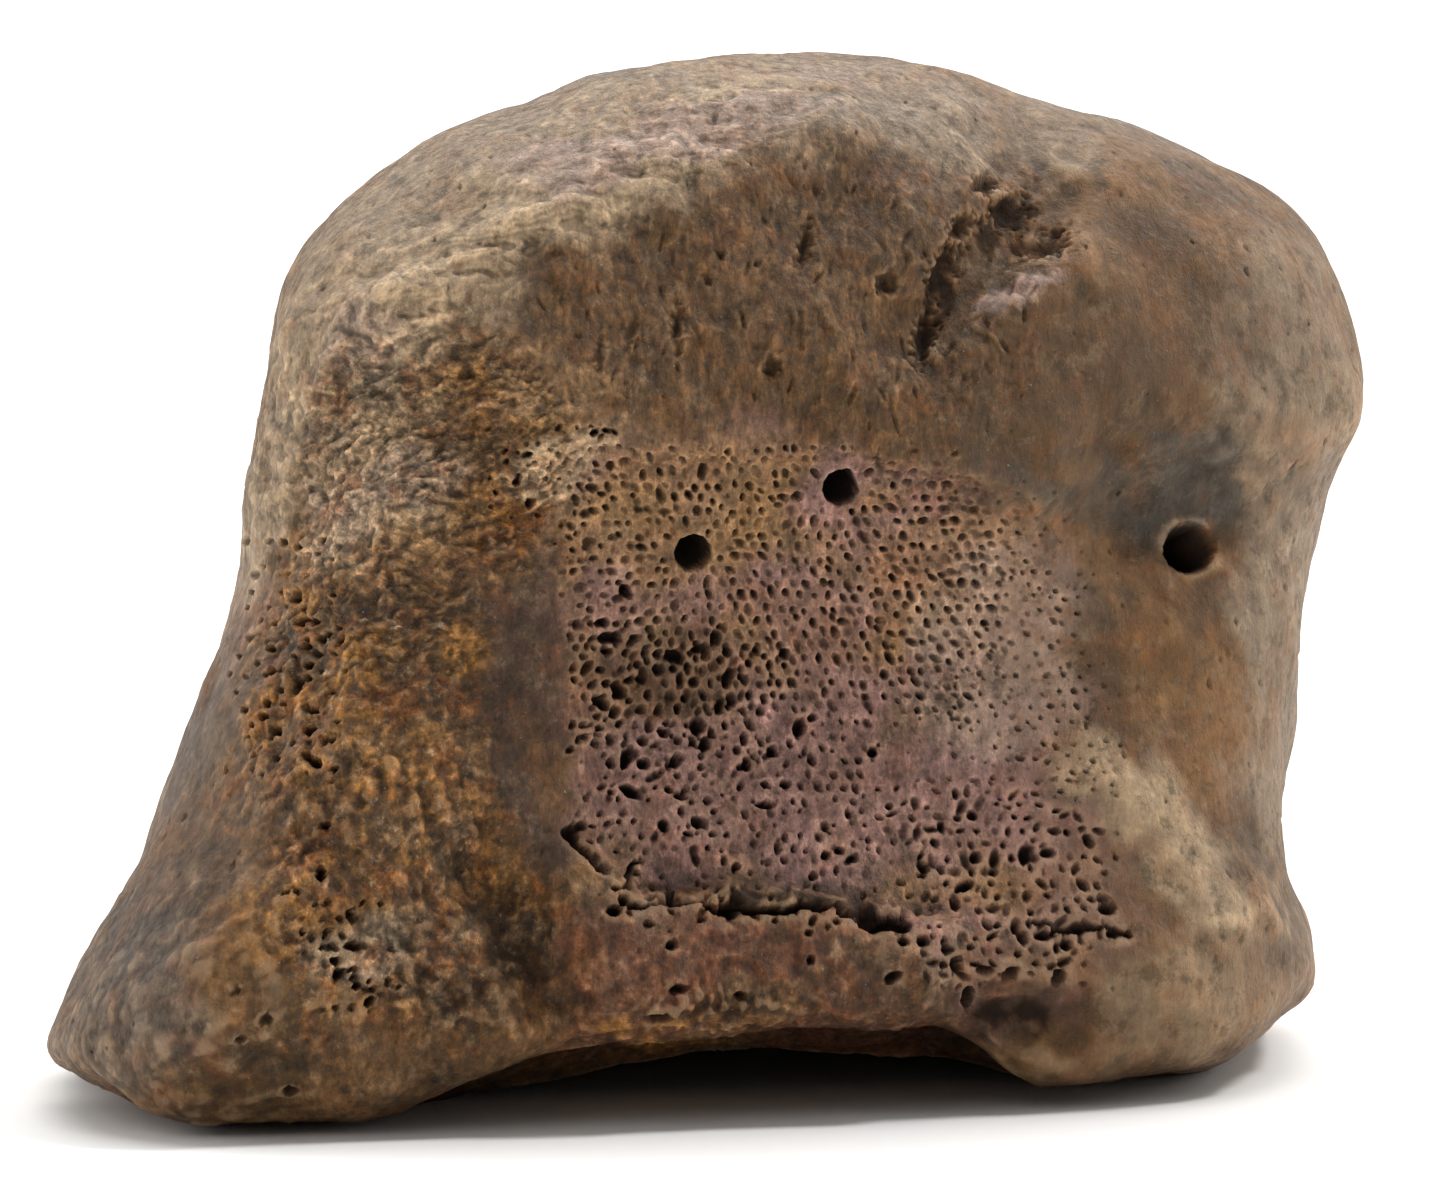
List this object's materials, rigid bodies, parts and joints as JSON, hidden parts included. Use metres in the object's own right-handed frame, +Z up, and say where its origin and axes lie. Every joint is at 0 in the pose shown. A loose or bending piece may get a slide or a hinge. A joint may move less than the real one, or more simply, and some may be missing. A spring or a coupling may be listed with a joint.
{
  "type": "fossil dinosaur toe bone",
  "caption": "Short, broad fossil toe bone of a dinosaur that stands on its hollowed near joint, with a rounded far joint on top, a spongy broken sole and small blood vessel holes.",
  "frame": {"origin": "on the ground, under the middle of the bone's box", "axes": "+Z up along the toe from the near joint to the far joint; +X across the bone, towards the lower end of the far joint; -Y is the way the broken, spongy sole faces"},
  "size_m": [0.0382, 0.0296, 0.0297],
  "materials": {
    "fossil_bone": "dry mineralised bone: brown with ochre, pinkish and grey patches, matt and porous"
  },
  "bodies": {
    "root": {"toe_bone": "fossil_bone"}
  },
  "joints": []
}
